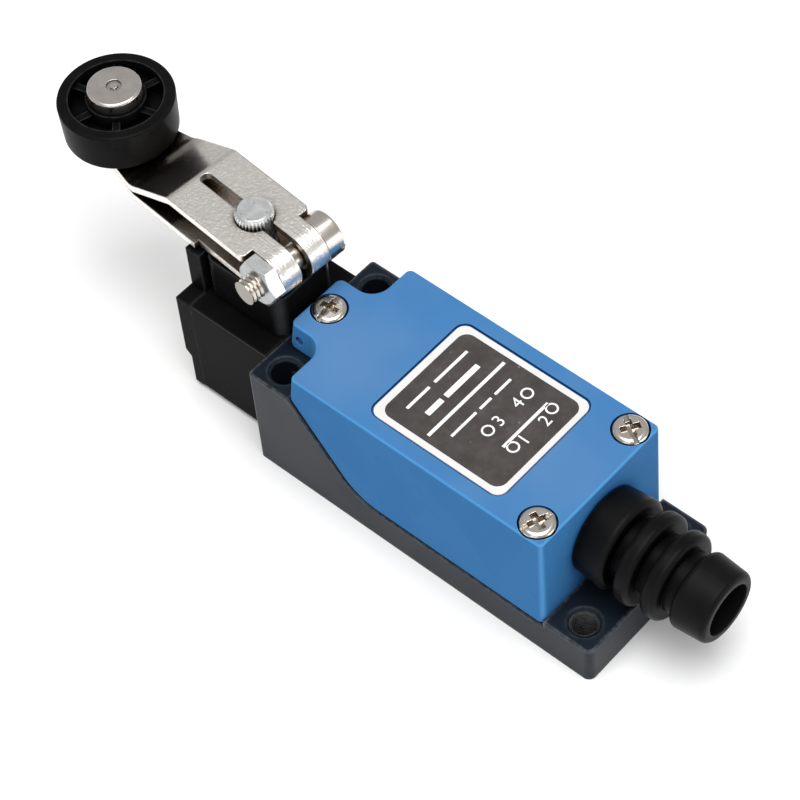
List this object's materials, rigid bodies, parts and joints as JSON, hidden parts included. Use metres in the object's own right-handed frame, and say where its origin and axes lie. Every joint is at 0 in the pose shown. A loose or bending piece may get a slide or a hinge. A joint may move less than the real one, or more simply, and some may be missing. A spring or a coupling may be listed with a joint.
{
  "type": "roller lever limit switch",
  "caption": "Boxed limit switch with a flanged back, a ribbed cable boot and a swinging roller lever clamped on a knurled shaft in a side head.",
  "frame": {"origin": "centre of the four mounting holes, on the mounting face", "axes": "+X along the body to the cable entry, +Y across the body, +Z out of the mounting face to the cover; the head is at -X"},
  "size_m": [0.1264, 0.0274, 0.041],
  "materials": {
    "base_paint": "satin dark grey paint on an aluminium die-casting",
    "cover_paint": "glossy blue paint on an aluminium die-casting",
    "gasket": "black rubber",
    "plate": "white-coated plate",
    "screw": "nickel-plated steel",
    "boot": "matte black rubber",
    "head_paint": "glossy black paint on an aluminium die-casting",
    "shaft": "plated steel",
    "bush": "sintered bronze",
    "sheet": "nickel-plated sheet steel, slightly grainy",
    "nut": "zinc-plated steel",
    "roller_plastic": "black moulded nylon",
    "rivet": "plated steel",
    "plunger_plastic": "moulded acetal",
    "spring": "spring wire",
    "switch_plastic": "black phenolic moulding",
    "lid_plastic": "red moulding",
    "contact": "brass with silver contacts"
  },
  "bodies": {
    "housing": {"base_housing": "base_paint", "front_cover": "cover_paint", "cover_gasket": "gasket", "nameplate": "plate", "cover_screws": "screw", "cable_boot": "boot", "head_housing": "head_paint", "head_cap": "head_paint", "head_screws": "screw", "head_seal": "gasket", "shaft_bush": "bush", "shaft_seal": "gasket", "plunger_spring": "spring", "switch_case": "switch_plastic", "switch_lid": "lid_plastic", "contact_spring": "spring", "terminals": "contact", "terminal_screws": "screw", "case_screws": "screw", "earth_screw": "screw"},
    "lever": {"lever_arm": "sheet", "clamp_screw": "screw", "clamp_nut": "nut", "actuator_shaft": "shaft", "cam": "plunger_plastic", "roller_rivet": "rivet", "roller_washer": "rivet"},
    "roller": {"roller": "roller_plastic"},
    "plunger": {"plunger": "plunger_plastic"},
    "contacts": {"switch_button": "lid_plastic", "contact_bridge": "contact"}
  },
  "joints": [
    {"name": "lever_swing", "type": "hinge", "parent": "housing", "child": "lever", "pos_m": [-0.0412, 0, 0.032], "axis": [0, 0, 1], "range_deg": [-75, 75], "stiffness_Nm_per_rad": 0.08},
    {"name": "roller_spin", "type": "hinge", "parent": "lever", "child": "roller", "pos_m": [-0.07202, 0.00286, 0.0355], "axis": [0, 0, 1], "continuous": true},
    {"name": "plunger_travel", "type": "slide", "parent": "housing", "child": "plunger", "axis": [1, 0, 0], "range_m": [0, 0.0016], "stiffness_N_per_m": 400, "deforming": ["plunger_spring"]},
    {"name": "contact_travel", "type": "slide", "parent": "housing", "child": "contacts", "axis": [1, 0, 0], "range_m": [0, 0.0016], "stiffness_N_per_m": 150, "deforming": ["contact_spring"]}
  ],
  "couplings": [
    {"joint": "contact_travel", "follows": "plunger_travel", "ratio": 1}
  ]
}
